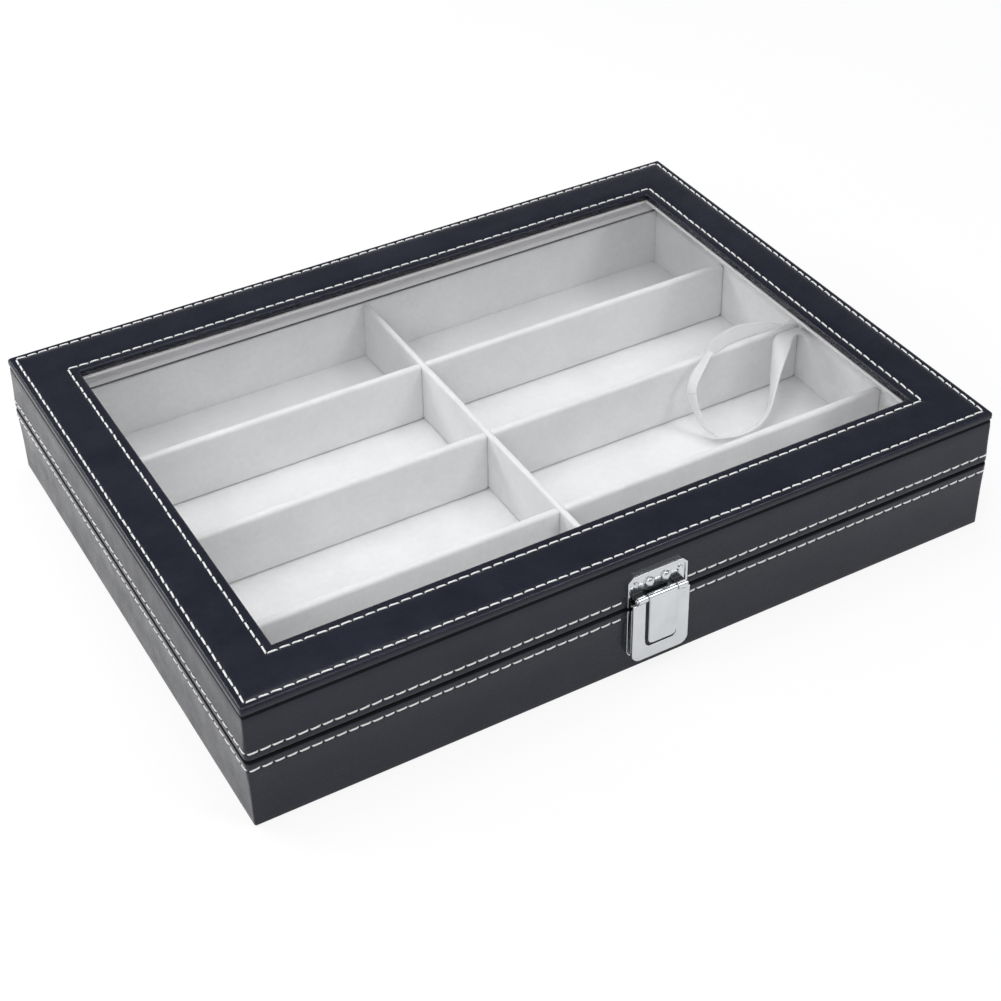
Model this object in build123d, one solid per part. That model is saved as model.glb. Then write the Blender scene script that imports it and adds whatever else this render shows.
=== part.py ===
from build123d import *

import os
from math import cos, pi, radians, sin, tan

# A glass-lidded storage box for eight pairs of glasses, wrapped in leatherette.
# Millimetres. X runs along the front from left to right, Y from the front (the clasp side)
# to the back (the hinge side), Z up. The origin is the centre of the underside.

# Driving dimensions
overall_width = 335.0
overall_depth = 248.0
overall_height = 58.5
seam_height = 33.0
window_inset_side = 23.5
window_inset_front = 25.5
compartment_rows = 4

# Sheet and board thicknesses
leather = 0.8
lip_overhang = 0.2
end_board = 3.0
long_board = 5.0
lining = 0.8
bottom_cover_thick = 0.4
floor_board_thick = 1.9
floor_pad_thick = 0.8
top_board_thick = 2.2
padding_thick = 0.5
glass_thick = 2.0
glass_clearance = 0.4
centre_divider_thick = 3.0
row_divider_thick = 4.0
divider_round = 1.2
slot_clearance = 0.1
seam_gap = 0.1
bottom_cover_inset = 3.0
rim_round = 0.5

# Outer faces of the leather, of the boards, and of the rooms inside
side_x = overall_width / 2 - lip_overhang
side_y = overall_depth / 2 - lip_overhang
board_x = side_x - leather
board_y = side_y - leather
board_inner_x = board_x - end_board
board_inner_y = board_y - long_board
room_x = board_inner_x - lining
room_y = board_inner_y - lining
window_x = overall_width / 2 - window_inset_side
window_y = overall_depth / 2 - window_inset_front

# Levels of the base, from the bottom up
base_wrap_low = bottom_cover_thick
base_board_low = base_wrap_low + leather
base_top = seam_height - seam_gap / 2
base_board_top = base_top - leather
floor_board_top = bottom_cover_thick + floor_board_thick
floor_top = floor_board_top + floor_pad_thick
base_lining_top = base_board_top + 0.3
divider_top = base_lining_top

# Levels of the lid, from the seam up
lid_low = seam_height + seam_gap / 2
rail_low = lid_low + leather
top_board_low = overall_height - 3.5
top_board_top = top_board_low + top_board_thick
padding_top = top_board_top + padding_thick
lip_low = top_board_low - 0.2
glass_low = top_board_low - glass_thick
window_lining_low = glass_low - lining
lid_lining_low = rail_low - 0.2

# Softly crowned leather on top of the lid
crown_drop = 0.35
crown_run = 8.0
lip_round = 1.0

# Small nails with square shanks and bevelled round heads
nail_shank_half = 0.5
nail_head_radius = 1.5
nail_head_height = 0.6
nail_length = 4.5
nail_hole_clearance = 0.05
head_flat_share = 0.6

# Butt hinges on the outside of the back wall
hinge_places_x = (-105.0, 105.0)
leaf_width = 32.0
leaf_height = 13.0
leaf_thick = 0.8
leaf_corner = 2.0
hinge_pin_radius = 0.9
pin_fit = 0.05
knuckle_radius = hinge_pin_radius + pin_fit + leaf_thick
knuckle_count = 3
knuckle_gap = 0.2
knuckle_relief = 2.1
hinge_axis_y = side_y + knuckle_radius
hinge_nail_x = 11.0
hinge_nail_z = 8.0
hinge_pin_head_radius = 1.4
hinge_pin_head_height = 0.7

# Hasp clasp in the middle of the front wall; u is the distance out from the leather
clasp_x = 3.4
plate_thick = 0.8
plate_half_width = 13.5
plate_rim_width = 1.0
plate_rim_height = 0.5
upper_plate_low = 33.8
upper_plate_top = 48.0
upper_plate_chamfer = 2.4
upper_nail_x = 10.0
upper_nail_z = 43.6
boss_x = 3.65
boss_z = 42.6
boss_radius = 2.3
boss_height = 1.7
catch_plate_low = 7.9
catch_plate_top = 32.0
catch_plate_corner = 3.5
catch_plate_top_corner = 0.7
catch_nail_x = 8.5
catch_nail_z = 26.0
stud_z = 18.5
stud_neck_radius = 0.9
stud_head_radius = 1.4
stud_head_low_u = 3.4
stud_head_top_u = 4.1
stud_depth = 3.5
flap_sheet = 0.75
clasp_pin_radius = 0.8
clasp_bore_radius = clasp_pin_radius + pin_fit
flap_roll_radius = clasp_bore_radius + flap_sheet
clasp_pin_u = 4.1
clasp_pin_z = 38.0
flap_half_width = 12.9
flap_low = 7.0
flap_shoulder_z = 36.2
flap_step_top_z = 37.4
flap_corner = 4.0
flap_skirt = 0.9
flap_edge_bevel = 0.3
tab_half_width = 6.4
tab_step_half_width = 8.2
strip_low = 15.2
strip_rise = 1.2
groove_width = 0.7
groove_depth = 0.35
strip_corner = 1.6
strip_hollow_top = 35.8
lug_inner = 7.0
lug_outer = 11.0
lug_radius = 1.45
lug_web_half = 1.2
clasp_pin_half = 11.6
clip_thick = 0.35
clip_half_height = 2.2
clip_half_width = 2.7
clip_top_z = 28.0
strip_face_u = clasp_pin_u + flap_roll_radius
border_face_u = strip_face_u - strip_rise
border_back_u = border_face_u - flap_sheet

# Satin ribbon that stays the lid, folded in a loop inside the closed box
ribbon_width = 9.0
ribbon_thick = 0.4
ribbon_plane_y = -30.0
ribbon_plane_z = 5.2
ribbon_plane_tilt = 52.0
ribbon_bend = 0.45


def block(x0, x1, y0, y1, z0, z1):
    """A box between two corners."""
    size = Box(x1 - x0, y1 - y0, z1 - z0)
    return Pos((x0 + x1) / 2, (y0 + y1) / 2, (z0 + z1) / 2) * size


def slab(half_x, half_y, z0, z1):
    """A box centred on the origin in plan."""
    return block(-half_x, half_x, -half_y, half_y, z0, z1)


def front_place(x, z, u=0.0):
    """A place on the front wall, its local Z pointing out of the wall."""
    return Pos(x, -side_y - u, z) * Rot(90, 0, 0)


def back_place(x, z, u=0.0):
    """A place on the back wall, its local Z pointing out of the wall."""
    return Pos(x, side_y + u, z) * Rot(-90, 0, 0)


def headed_shank(shank_radius, shank_low, head_radius, head_low, head_top):
    """A round shank under a bevelled head, standing along local Z."""
    shank = Pos(0, 0, (shank_low + head_low) / 2) * Cylinder(shank_radius, head_low - shank_low)
    return shank + bevelled_head(head_radius, head_low, head_top)


def bevelled_head(radius, low, top):
    """A round head that narrows to a flat top."""
    return Pos(0, 0, (low + top) / 2) * Cone(radius, head_flat_share * radius, top - low)


def nail():
    """A nail whose head sits on local Z = 0, its square shank down."""
    shank = Box(2 * nail_shank_half, 2 * nail_shank_half, nail_length)
    return Pos(0, 0, -nail_length / 2) * shank + bevelled_head(nail_head_radius, 0, nail_head_height)


def nail_hole(depth=nail_length + 0.1):
    """The hole that a nail's shank runs in, open towards its head."""
    side = 2 * (nail_shank_half + nail_hole_clearance)
    return Pos(0, 0, (2.0 - depth) / 2) * Box(side, side, depth + 2.0)


def pressed_boss():
    """A round boss with a bevelled crown on local Z = 0, and a short foot under it."""
    crown = [(boss_radius * cos(radians(a)), boss_height * sin(radians(a))) for a in (0, 30, 60)]
    outline = Polyline((0, boss_height), (0, -0.3), (boss_radius, -0.3), *crown, close=True)
    return revolve(Plane.XZ * make_face(outline), Axis.Z)


def hinge_nail_spots(level):
    """Nails of both hinges in one row, above (+1) or below (-1) the seam."""
    z = seam_height + level * hinge_nail_z
    return [(hx + s * hinge_nail_x, z) for hx in hinge_places_x for s in (-1, 1)]


upper_nail_spots = [(clasp_x + s * upper_nail_x, upper_nail_z) for s in (-1, 1)]
catch_nail_spots = [(clasp_x + s * catch_nail_x, catch_nail_z) for s in (-1, 1)]


def front_holes(spots):
    return [front_place(x, z) * nail_hole() for x, z in spots]


def back_holes(spots):
    return [back_place(x, z) * nail_hole() for x, z in spots]


def stud_hole():
    radius = stud_neck_radius + nail_hole_clearance
    return front_place(clasp_x, stud_z) * Pos(0, 0, -1) * Cylinder(radius, 2 * stud_depth)


base_front_holes = front_holes(catch_nail_spots) + [stud_hole()]
base_back_holes = back_holes(hinge_nail_spots(-1))
lid_front_holes = front_holes(upper_nail_spots)
lid_back_holes = back_holes(hinge_nail_spots(1))


def soft_case(half_x, half_y, z0, z1):
    """A box with softly rounded rims, which meet in mitres at its crisp upright corners."""

    def section(half):
        profile = Pos(0, (z0 + z1) / 2) * Rectangle(2 * half, z1 - z0)
        return fillet(profile.vertices(), rim_round)

    along_y = extrude(Plane.XZ * section(half_x), overall_depth, both=True)
    along_x = extrude(Plane.YZ * section(half_y), overall_width, both=True)
    return along_y & along_x


def base_boards():
    """Four wall boards; the long ones run past the ends of the short ones."""
    z0, z1 = base_board_low, base_board_top
    front = block(-board_x, board_x, -board_y, -board_inner_y, z0, z1)
    back = block(-board_x, board_x, board_inner_y, board_y, z0, z1)
    left = block(-board_x, -board_inner_x, -board_inner_y, board_inner_y, z0, z1)
    right = block(board_inner_x, board_x, -board_inner_y, board_inner_y, z0, z1)
    return {
        "base_front_board": front - base_front_holes,
        "base_back_board": back - base_back_holes,
        "base_left_board": left,
        "base_right_board": right,
    }


def base_leather_wrap():
    """Leatherette round the base walls, turned in over their tops and under their feet."""
    wrap = soft_case(side_x, side_y, base_wrap_low, base_top)
    wrap -= slab(board_x, board_y, base_board_low, base_board_top)
    wrap -= slab(board_inner_x, board_inner_y, base_wrap_low - 1, base_top + 1)
    return wrap - base_front_holes - base_back_holes


def base_bottom_cover():
    """The sheet glued under the box, which it stands on."""
    half_x = side_x - bottom_cover_inset
    half_y = side_y - bottom_cover_inset
    return slab(half_x, half_y, 0, bottom_cover_thick)


def base_floor_board():
    return slab(board_inner_x, board_inner_y, bottom_cover_thick, floor_board_top)


def base_floor_pad():
    return slab(board_inner_x, board_inner_y, floor_board_top, floor_top)


def wall_linings(prefix, z0, z1):
    """Four velvet-covered cards that line the walls from z0 to z1."""
    long_x = board_inner_x
    parts = {
        "front": block(-long_x, long_x, -board_inner_y, -room_y, z0, z1),
        "back": block(-long_x, long_x, room_y, board_inner_y, z0, z1),
        "left": block(-board_inner_x, -room_x, -room_y, room_y, z0, z1),
        "right": block(room_x, board_inner_x, -room_y, room_y, z0, z1),
    }
    return {f"{prefix}_{side}_lining": solid for side, solid in parts.items()}


row_pitch = (2 * room_y + row_divider_thick) / compartment_rows
row_divider_places_y = [
    room_y + row_divider_thick / 2 - row_pitch * (n + 1) for n in range(compartment_rows - 1)
]
slot_level = (floor_top + divider_top) / 2


def divider_section(thick):
    """Upright section of a velvet-covered divider with a rounded top, centred on x = 0."""
    height = divider_top - floor_top
    section = Pos(0, height / 2) * Rectangle(thick, height)
    return fillet(section.vertices().group_by(Axis.Y)[-1], divider_round)


def centre_divider():
    """Runs front to back; its slots are open at the bottom."""
    plane = Plane((0, -room_y, floor_top), x_dir=(1, 0, 0), z_dir=(0, -1, 0))
    divider = extrude(plane * divider_section(centre_divider_thick), -2 * room_y)
    half = row_divider_thick / 2 + slot_clearance
    for y in row_divider_places_y:
        divider -= block(-5, 5, y - half, y + half, floor_top - 1, slot_level)
    return divider


def row_divider(y):
    """Runs left to right; its slot is open at the top, so that the centre divider drops in."""
    plane = Plane((-room_x, y, floor_top), x_dir=(0, 1, 0), z_dir=(1, 0, 0))
    divider = extrude(plane * divider_section(row_divider_thick), 2 * room_x)
    half = centre_divider_thick / 2 + slot_clearance
    return divider - block(-half, half, y - 5, y + 5, slot_level, divider_top + 1)


def lid_rails():
    """Four upright boards round the lid."""
    z0, z1 = rail_low, top_board_low
    front = block(-board_x, board_x, -board_y, -board_inner_y, z0, z1)
    back = block(-board_x, board_x, board_inner_y, board_y, z0, z1)
    left = block(-board_x, -board_inner_x, -board_inner_y, board_inner_y, z0, z1)
    right = block(board_inner_x, board_x, -board_inner_y, board_inner_y, z0, z1)
    return {
        "lid_front_rail": front - lid_front_holes,
        "lid_back_rail": back - lid_back_holes,
        "lid_left_rail": left,
        "lid_right_rail": right,
    }


def lid_top_boards():
    """Four flat boards, mitred at the corners, that frame the window."""
    z0, z1 = top_board_low, top_board_top
    in_x = window_x + leather
    in_y = window_y + leather

    def board(corners):
        face = Pos(0, 0, z0) * make_face(Polyline(corners, close=True))
        return extrude(face, z1 - z0, dir=(0, 0, 1))

    parts = {}
    for side, s in (("front", -1), ("back", 1)):
        corners = [(-board_x, s * board_y), (board_x, s * board_y), (in_x, s * in_y), (-in_x, s * in_y)]
        parts[f"lid_top_board_{side}"] = board(corners)
    for side, s in (("left", -1), ("right", 1)):
        corners = [(s * board_x, -board_y), (s * board_x, board_y), (s * in_x, in_y), (s * in_x, -in_y)]
        parts[f"lid_top_board_{side}"] = board(corners)
    return parts


def lid_top_padding():
    """Thin foam between the top boards and their leather."""
    pad = slab(board_x, board_y, top_board_top, padding_top)
    return pad - slab(window_x + leather, window_y + leather, top_board_top - 1, padding_top + 1)


def crowned_body(half_x, half_y, side, low, high):
    """A body with the lid's crown round it: falling towards its rim, or flaring out above it.

    With side -1 it is the whole panel, with side +1 the space over the window.
    Two crossed profiles meet in mitres at the corners.
    """
    rim_level = overall_height - crown_drop

    def section(half):
        crest = [(half + side * crown_run, overall_height)]
        if high > overall_height:
            crest.append((half + side * crown_run, high))
        slope = Polyline((half + side * lip_round, rim_level), *crest, (0, high))
        rim = ThreePointArc(
            (half, rim_level - lip_round),
            (half + side * lip_round * (1 - cos(pi / 4)), rim_level - lip_round * (1 - sin(pi / 4))),
            (half + side * lip_round, rim_level),
        )
        wall = Polyline((0, low), (half, low), (half, rim_level - lip_round))
        outline = wall + rim + slope
        return make_face(outline + mirror(outline, Plane.YZ))

    along_y = extrude(Plane.XZ * section(half_x), overall_depth, both=True)
    along_x = extrude(Plane.YZ * section(half_y), overall_width, both=True)
    return along_y & along_x


def lid_top_leather():
    """The leather frame on top: a lip round the outside, softly crowned, turned down at the window."""
    panel = crowned_body(overall_width / 2, overall_depth / 2, -1, lip_low, overall_height)
    panel -= crowned_body(window_x, window_y, 1, lip_low - 1, overall_height + 1)
    panel -= slab(board_x, board_y, lip_low - 1, padding_top) - window_column(leather)
    return panel - slab(board_x, board_y, lip_low - 1, top_board_low)


def window_column(margin):
    """The window's opening carried up and down, wider by a margin all round."""
    return slab(window_x + margin, window_y + margin, 0, overall_height + 1)


def lid_side_leather():
    """Leatherette round the lid rails, turned in under them."""
    wrap = soft_case(side_x, side_y, lid_low, lip_low + 2)
    wrap -= slab(side_x + 1, side_y + 1, lip_low, lip_low + 4)
    wrap -= slab(board_x, board_y, rail_low, lip_low + 1)
    wrap -= slab(board_inner_x, board_inner_y, lid_low - 1, lip_low + 1)
    return wrap - lid_front_holes - lid_back_holes


def lid_glass():
    """The pane, which lies under the top boards and on the window lining."""
    half_x = board_inner_x - glass_clearance
    half_y = board_inner_y - glass_clearance
    return slab(half_x, half_y, glass_low, top_board_low)


def lid_window_lining():
    """A lined card frame that holds the pane up and hides its edge from inside."""
    frame = slab(board_inner_x, board_inner_y, window_lining_low, glass_low)
    return frame - window_column(0)


def hinge_knuckle(level, x0, x1):
    """One rolled knuckle between x0 and x1, tangent to its leaf."""
    plane = Plane((x0, 0, 0), x_dir=(0, 1, 0), z_dir=(1, 0, 0))
    roll = Pos(hinge_axis_y, seam_height) * Circle(knuckle_radius)
    neck_z = seam_height + level * (knuckle_relief + 0.5) / 2
    neck = Pos(side_y + leaf_thick / 2, neck_z) * Rectangle(leaf_thick, knuckle_relief + 0.5)
    bore = Pos(hinge_axis_y, seam_height) * Circle(hinge_pin_radius + pin_fit)
    return extrude(plane * (roll + neck - bore), x1 - x0)


def hinge_leaf(x, level):
    """A stamped leaf above (+1) or below (-1) the seam, with its share of the knuckles."""
    near = seam_height + level * knuckle_relief
    far = seam_height + level * leaf_height
    low, high = min(near, far), max(near, far)
    leaf = block(x - leaf_width / 2, x + leaf_width / 2, side_y, side_y + leaf_thick, low, high)
    outer_corners = leaf.edges().filter_by(Axis.Y).sort_by(Axis.Z)
    leaf = fillet(outer_corners[-2:] if level > 0 else outer_corners[:2], leaf_corner)
    pitch = leaf_width / knuckle_count
    first = 0 if level < 0 else 1
    for n in range(first, knuckle_count, 2):
        x0 = x - leaf_width / 2 + n * pitch + knuckle_gap / 2
        leaf += hinge_knuckle(level, x0, x0 + pitch - knuckle_gap)
    return leaf - back_holes(hinge_nail_spots(level))


def hinge_pin(x):
    """The hinge's pin, with a domed head at each end."""
    half = leaf_width / 2
    end = headed_shank(hinge_pin_radius, 0, hinge_pin_head_radius, half, half + hinge_pin_head_height)
    pin = end + mirror(end, Plane.XY)
    return Pos(x, hinge_axis_y, seam_height) * Rot(0, 90, 0) * pin


def nail_group(places):
    """Separate nails that share one node."""
    return Compound(children=[place * nail() for place in places])


def front_sketch_plane(u):
    """Plane of a front view, X to the right and Y up, at u out from the wall."""
    return Plane((clasp_x, -side_y - u, 0), x_dir=(1, 0, 0), z_dir=(0, -1, 0))


def side_sketch_plane(x):
    """Plane of a side view, its X out from the front wall and its Y up."""
    return Plane((clasp_x + x, -side_y, 0), x_dir=(0, -1, 0), z_dir=(-1, 0, 0))


def rimmed_plate(outline):
    """A stamped plate with a raised rim."""
    plate = extrude(front_sketch_plane(0) * outline, plate_thick)
    rim = outline - offset(outline, -plate_rim_width)
    return plate + extrude(front_sketch_plane(plate_thick) * rim, plate_rim_height)


def clasp_upper_plate():
    """The lid's plate, with two pin lugs and two pressed bosses."""
    height = upper_plate_top - upper_plate_low
    outline = Pos(0, upper_plate_low + height / 2) * Rectangle(2 * plate_half_width, height)
    outline = chamfer(outline.vertices().group_by(Axis.Y)[-1], upper_plate_chamfer)
    plate = rimmed_plate(outline)
    lug = Pos(clasp_pin_u, clasp_pin_z) * Circle(lug_radius)
    web_low_u = plate_thick / 2
    web_width = clasp_pin_u - web_low_u
    lug += Pos(web_low_u + web_width / 2, clasp_pin_z) * Rectangle(web_width, 2 * lug_web_half)
    lug -= Pos(clasp_pin_u, clasp_pin_z) * Circle(clasp_bore_radius)
    for x in (lug_outer, -lug_inner):
        plate += extrude(side_sketch_plane(x) * lug, lug_outer - lug_inner)
    for s in (-1, 1):
        plate += front_place(clasp_x + s * boss_x, boss_z, plate_thick) * pressed_boss()
    return plate - lid_front_holes


def clasp_catch_plate():
    """The base's plate, which carries the stud."""
    height = catch_plate_top - catch_plate_low
    outline = Pos(0, catch_plate_low + height / 2) * Rectangle(2 * plate_half_width, height)
    outline = fillet(outline.vertices().group_by(Axis.Y)[0], catch_plate_corner)
    outline = fillet(outline.vertices().group_by(Axis.Y)[-1], catch_plate_top_corner)
    return rimmed_plate(outline) - base_front_holes


def clasp_stud():
    """A round-headed stud riveted through the catch plate; the flap's clip snaps on its neck."""
    stud = headed_shank(
        stud_neck_radius, -stud_depth, stud_head_radius, stud_head_low_u, stud_head_top_u
    )
    return front_place(clasp_x, stud_z) * stud


def clasp_pin():
    pin = Pos(clasp_x, -side_y - clasp_pin_u, clasp_pin_z) * Rot(0, 90, 0)
    return pin * Cylinder(clasp_pin_radius, 2 * clasp_pin_half)


def flap_outline():
    """Front view of the flap's border: a tongue with S-shaped shoulders up to the tab."""
    half, step, tab = flap_half_width, tab_step_half_width, tab_half_width
    right_step = Spline(
        (step, flap_shoulder_z), (tab, flap_step_top_z), tangents=((-1, 0), (0, 1))
    )
    left_step = Spline(
        (-tab, flap_step_top_z), (-step, flap_shoulder_z), tangents=((0, -1), (-1, 0))
    )
    sides = Polyline(
        (-step, flap_shoulder_z),
        (-half, flap_shoulder_z),
        (-half, flap_low),
        (half, flap_low),
        (half, flap_shoulder_z),
        (step, flap_shoulder_z),
    )
    top = Line((tab, flap_step_top_z), (-tab, flap_step_top_z))
    face = make_face(sides + right_step + top + left_step)
    return fillet(face.vertices().group_by(Axis.Y)[0], flap_corner)


def strip_outline(inset, top):
    """Front view of the raised strip in the flap's middle, open at its top."""
    low = strip_low + inset
    half = tab_half_width - inset
    strip = Pos(0, (low + top) / 2) * Rectangle(2 * half, top - low)
    return fillet(strip.vertices().group_by(Axis.Y)[0], strip_corner - inset)


def clasp_flap():
    """A pressed flap: a rimmed border, a raised strip, and the strip's end rolled on the pin."""
    outline = flap_outline()
    skirt_u = border_back_u - flap_skirt
    flap = extrude(front_sketch_plane(skirt_u) * outline, border_face_u - skirt_u)
    front_edges = flap.faces().sort_by(Axis.Y)[0].edges()
    border_edges = front_edges.filter_by(lambda edge: edge.center().Z < flap_shoulder_z - 1)
    flap = chamfer(border_edges, flap_edge_bevel)
    inner_low = flap_low + flap_sheet
    inner_half = flap_half_width - flap_sheet
    inner_top = flap_shoulder_z + 10
    inside = Pos(0, (inner_low + inner_top) / 2) * Rectangle(2 * inner_half, inner_top - inner_low)
    inside = fillet(inside.vertices().group_by(Axis.Y)[0], flap_corner - flap_sheet)
    flap -= extrude(front_sketch_plane(skirt_u - 1) * inside, flap_skirt + 1)
    groove = strip_outline(-groove_width, clasp_pin_z)
    flap -= extrude(front_sketch_plane(border_face_u - groove_depth) * groove, groove_depth + 1)
    strip = extrude(
        front_sketch_plane(border_back_u) * strip_outline(0, clasp_pin_z), strip_face_u - border_back_u
    )
    flap += strip
    roll = Pos(clasp_pin_u, clasp_pin_z) * Circle(flap_roll_radius)
    flap += extrude(side_sketch_plane(tab_half_width) * roll, 2 * tab_half_width)
    bore = Pos(clasp_pin_u, clasp_pin_z) * Circle(clasp_bore_radius)
    flap -= extrude(side_sketch_plane(tab_half_width + 1) * bore, 2 * tab_half_width + 2)
    hollow = strip_outline(flap_sheet, strip_hollow_top)
    hollow_depth = strip_face_u - flap_sheet - border_back_u
    flap -= extrude(front_sketch_plane(border_back_u - 1) * hollow, hollow_depth + 1)
    return flap


def clasp_flap_clip():
    """A spring clip in the flap's hollow; its two legs close on the stud's neck."""
    back_u = strip_face_u - flap_sheet
    seat_u = back_u - clip_thick
    z0, z1 = stud_z - clip_half_height, clip_top_z
    seat = Pos(0, (z0 + z1) / 2) * Rectangle(2 * clip_half_width, z1 - z0)
    clip = extrude(front_sketch_plane(seat_u) * seat, clip_thick)
    leg_line = Polyline(
        (clip_half_width - clip_thick / 2, seat_u),
        (clip_half_width - clip_thick / 2, stud_head_low_u + 0.3),
        (1.35, stud_head_low_u - 0.4),
        (1.9, stud_head_low_u - 0.95),
    )
    leg = trace(leg_line, clip_thick)
    plane = Plane((clasp_x, -side_y, z0), x_dir=(1, 0, 0), z_dir=(0, 0, -1))
    leg_solid = extrude(plane * leg, -2 * clip_half_height)
    return clip + leg_solid + mirror(leg_solid, Plane.YZ.offset(clasp_x))


# The ribbon's loop in its own tilted plane: across the box, and up the plane's slope
ribbon_route = (
    (2.0, 33.0),
    (-11.0, 24.0),
    (-22.0, 10.0),
    (-38.0, 1.5),
    (-56.0, 2.0),
    (-69.0, 12.0),
    (-72.5, 28.0),
    (-65.0, 43.0),
    (-49.0, 51.5),
    (-31.0, 51.0),
    (-15.0, 45.0),
    (2.0, 38.5),
)


def ribbon_plane():
    """X points along the box to the right wall, Y up the slope towards the back."""
    tilt = Rot(ribbon_plane_tilt, 0, 0)
    return Plane(Pos(room_x, ribbon_plane_y, ribbon_plane_z) * tilt)


def lid_stay_ribbon():
    """The ribbon on edge in its loop, from the base's right wall round to the lid's."""
    runs = [Vector(b) - Vector(a) for a, b in zip(ribbon_route, ribbon_route[1:])]
    radii = []
    for before, after in zip(runs, runs[1:]):
        shorter = min(before.length, after.length)
        half_turn = before.get_angle(after) / 2
        radii.append(ribbon_bend * shorter / tan(radians(half_turn)))
    path = ribbon_plane() * FilletPolyline(*ribbon_route, radius=radii)
    start = Plane(path @ 0, x_dir=ribbon_plane().z_dir, z_dir=path % 0)
    section = Rectangle(ribbon_width, ribbon_thick)
    ribbon = sweep(start * section, path=path)
    ribbon -= block(room_x, room_x + 20, -room_y, room_y, 0, overall_height)
    free_length = ribbon.volume / section.area
    print(f"ribbon: free length {free_length:.1f} mm, bends {min(radii):.1f} to {max(radii):.1f} mm")
    return ribbon


def build_parts():
    """Every separate piece of the box, by name."""
    parts = {}
    parts.update(base_boards())
    parts["base_leather_wrap"] = base_leather_wrap()
    parts["base_bottom_cover"] = base_bottom_cover()
    parts["base_floor_board"] = base_floor_board()
    parts["base_floor_pad"] = base_floor_pad()
    parts.update(wall_linings("base", floor_top, base_lining_top))
    parts["centre_divider"] = centre_divider()
    for name, y in zip(("back", "middle", "front"), row_divider_places_y):
        parts[f"row_divider_{name}"] = row_divider(y)
    parts["lid_stay_ribbon"] = lid_stay_ribbon()
    parts.update(lid_rails())
    parts.update(lid_top_boards())
    parts["lid_top_padding"] = lid_top_padding()
    parts["lid_top_leather"] = lid_top_leather()
    parts["lid_side_leather"] = lid_side_leather()
    parts["lid_glass"] = lid_glass()
    parts["lid_window_lining"] = lid_window_lining()
    parts.update(wall_linings("lid", lid_lining_low, window_lining_low))
    for side, x in zip(("left", "right"), hinge_places_x):
        parts[f"hinge_base_leaf_{side}"] = hinge_leaf(x, -1)
        parts[f"hinge_lid_leaf_{side}"] = hinge_leaf(x, 1)
        parts[f"hinge_pin_{side}"] = hinge_pin(x)
    base_spots = [back_place(x, z, leaf_thick) for x, z in hinge_nail_spots(-1)]
    lid_spots = [back_place(x, z, leaf_thick) for x, z in hinge_nail_spots(1)]
    parts["hinge_base_nails"] = nail_group(base_spots)
    parts["hinge_lid_nails"] = nail_group(lid_spots)
    parts["clasp_catch_plate"] = clasp_catch_plate()
    parts["clasp_catch_nails"] = nail_group([front_place(x, z, plate_thick) for x, z in catch_nail_spots])
    parts["clasp_stud"] = clasp_stud()
    parts["clasp_upper_plate"] = clasp_upper_plate()
    parts["clasp_upper_nails"] = nail_group([front_place(x, z, plate_thick) for x, z in upper_nail_spots])
    parts["clasp_pin"] = clasp_pin()
    parts["clasp_flap"] = clasp_flap()
    parts["clasp_flap_clip"] = clasp_flap_clip()
    return parts


os.makedirs("parts", exist_ok=True)
for name, solid in build_parts().items():
    export_step(solid, f"parts/{name}.step")
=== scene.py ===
from math import ceil, cos, pi, radians, sin, sqrt

import bmesh
import bpy
import numpy as np
from mathutils import Matrix, Vector


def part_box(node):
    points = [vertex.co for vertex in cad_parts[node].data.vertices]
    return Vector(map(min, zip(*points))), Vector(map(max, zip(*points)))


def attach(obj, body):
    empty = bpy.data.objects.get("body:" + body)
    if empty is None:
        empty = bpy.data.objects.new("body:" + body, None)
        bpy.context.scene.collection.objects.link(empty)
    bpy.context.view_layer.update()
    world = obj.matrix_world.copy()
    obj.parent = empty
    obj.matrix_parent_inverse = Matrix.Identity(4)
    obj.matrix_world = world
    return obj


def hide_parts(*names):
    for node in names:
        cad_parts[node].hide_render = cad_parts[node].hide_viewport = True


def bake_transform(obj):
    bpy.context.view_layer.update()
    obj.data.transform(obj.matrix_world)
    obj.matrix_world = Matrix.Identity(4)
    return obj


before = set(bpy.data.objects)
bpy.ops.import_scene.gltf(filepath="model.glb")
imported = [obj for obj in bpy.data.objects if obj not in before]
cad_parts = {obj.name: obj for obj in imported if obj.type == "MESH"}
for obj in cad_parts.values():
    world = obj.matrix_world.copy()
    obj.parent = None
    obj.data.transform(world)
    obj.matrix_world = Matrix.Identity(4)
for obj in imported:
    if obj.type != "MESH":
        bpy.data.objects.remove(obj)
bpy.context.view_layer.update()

MM = 0.001
TOUCH = 1e-6
shake = np.random.RandomState(7)

# Camera: where the photograph was taken from
CAMERA_TARGET = Vector((21.54, 27.69, 25.0)) * MM
CAMERA_DISTANCE = 881.82 * MM
CAMERA_AZIMUTH = -0.50897
CAMERA_ELEVATION = 0.62627
CAMERA_ROLL = -0.01977
CAMERA_LENS = 71.573
CAMERA_SENSOR = 36.0
CAMERA_SHIFT = -0.1004


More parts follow.
